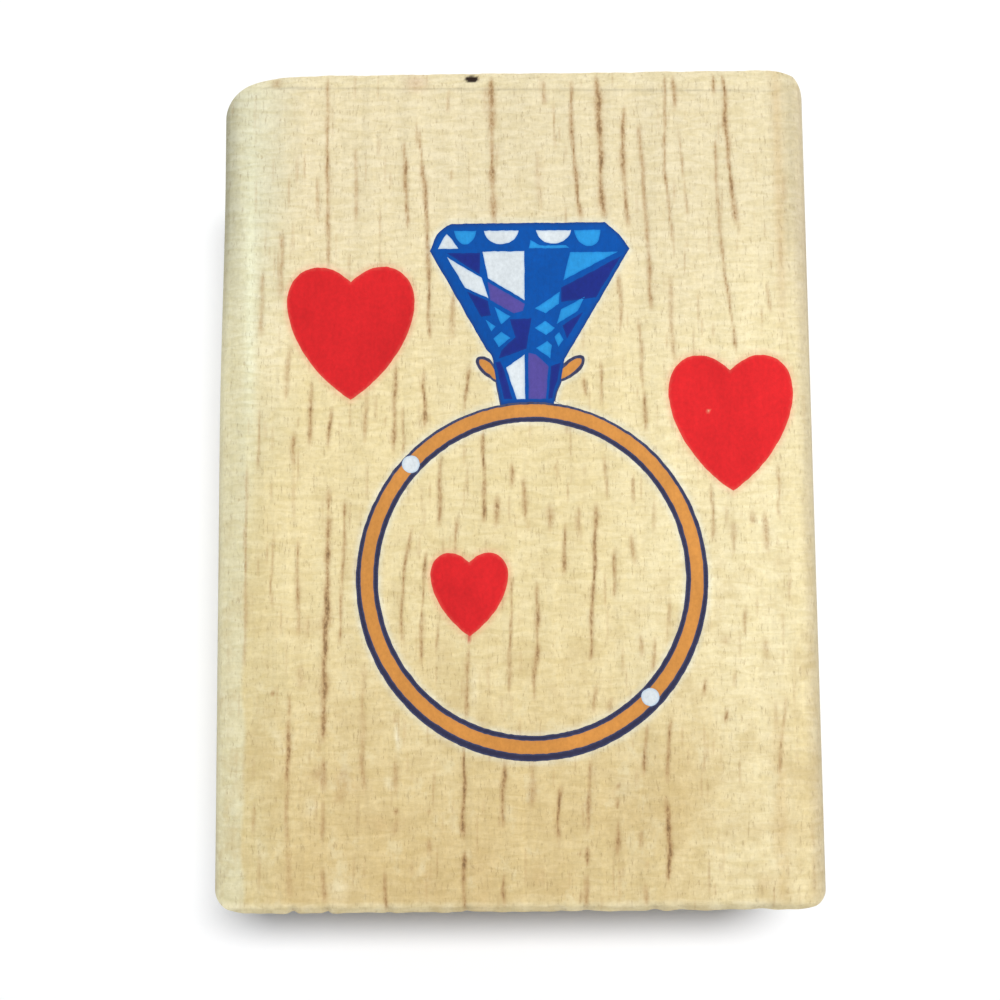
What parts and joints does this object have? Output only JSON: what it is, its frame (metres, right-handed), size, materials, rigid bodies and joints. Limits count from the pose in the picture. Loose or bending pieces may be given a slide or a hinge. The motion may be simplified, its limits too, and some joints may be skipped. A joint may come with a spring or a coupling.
{
  "type": "wood-mounted rubber stamp",
  "caption": "Hand stamp: pale wood block with rounded long edges and a printed gem ring and hearts on top, over a foam cushion and a relief rubber die.",
  "frame": {"origin": "middle of the block's footprint, on the surface that the stamp's rubber face stands on", "axes": "+Z out of the printed top, +Y along the grain to the top of the picture, +X to the picture's right"},
  "size_m": [0.05, 0.0704, 0.024],
  "materials": {
    "block_wood": "bare open-grained pale wood, sanded",
    "print_red": "matte printed ink",
    "print_gold": "matte printed ink",
    "print_outline": "matte printed ink",
    "print_royal_blue": "matte printed ink",
    "print_indigo": "matte printed ink",
    "print_sky_blue": "matte printed ink",
    "print_violet": "matte printed ink",
    "print_white": "matte printed ink",
    "adhesive_film": "translucent amber adhesive film",
    "cushion_foam": "fine closed-cell foam, cut edge",
    "die_rubber": "moulded red stamp rubber, satin"
  },
  "bodies": {
    "root": {"wood_block": "block_wood", "ink_red_hearts": "print_red", "ink_gold_band": "print_gold", "ink_outline": "print_outline", "ink_royal_blue": "print_royal_blue", "ink_indigo": "print_indigo", "ink_sky_blue": "print_sky_blue", "ink_violet": "print_violet", "ink_white": "print_white", "block_adhesive": "adhesive_film", "cushion": "cushion_foam", "die_adhesive": "adhesive_film", "rubber_die": "die_rubber"}
  },
  "joints": []
}
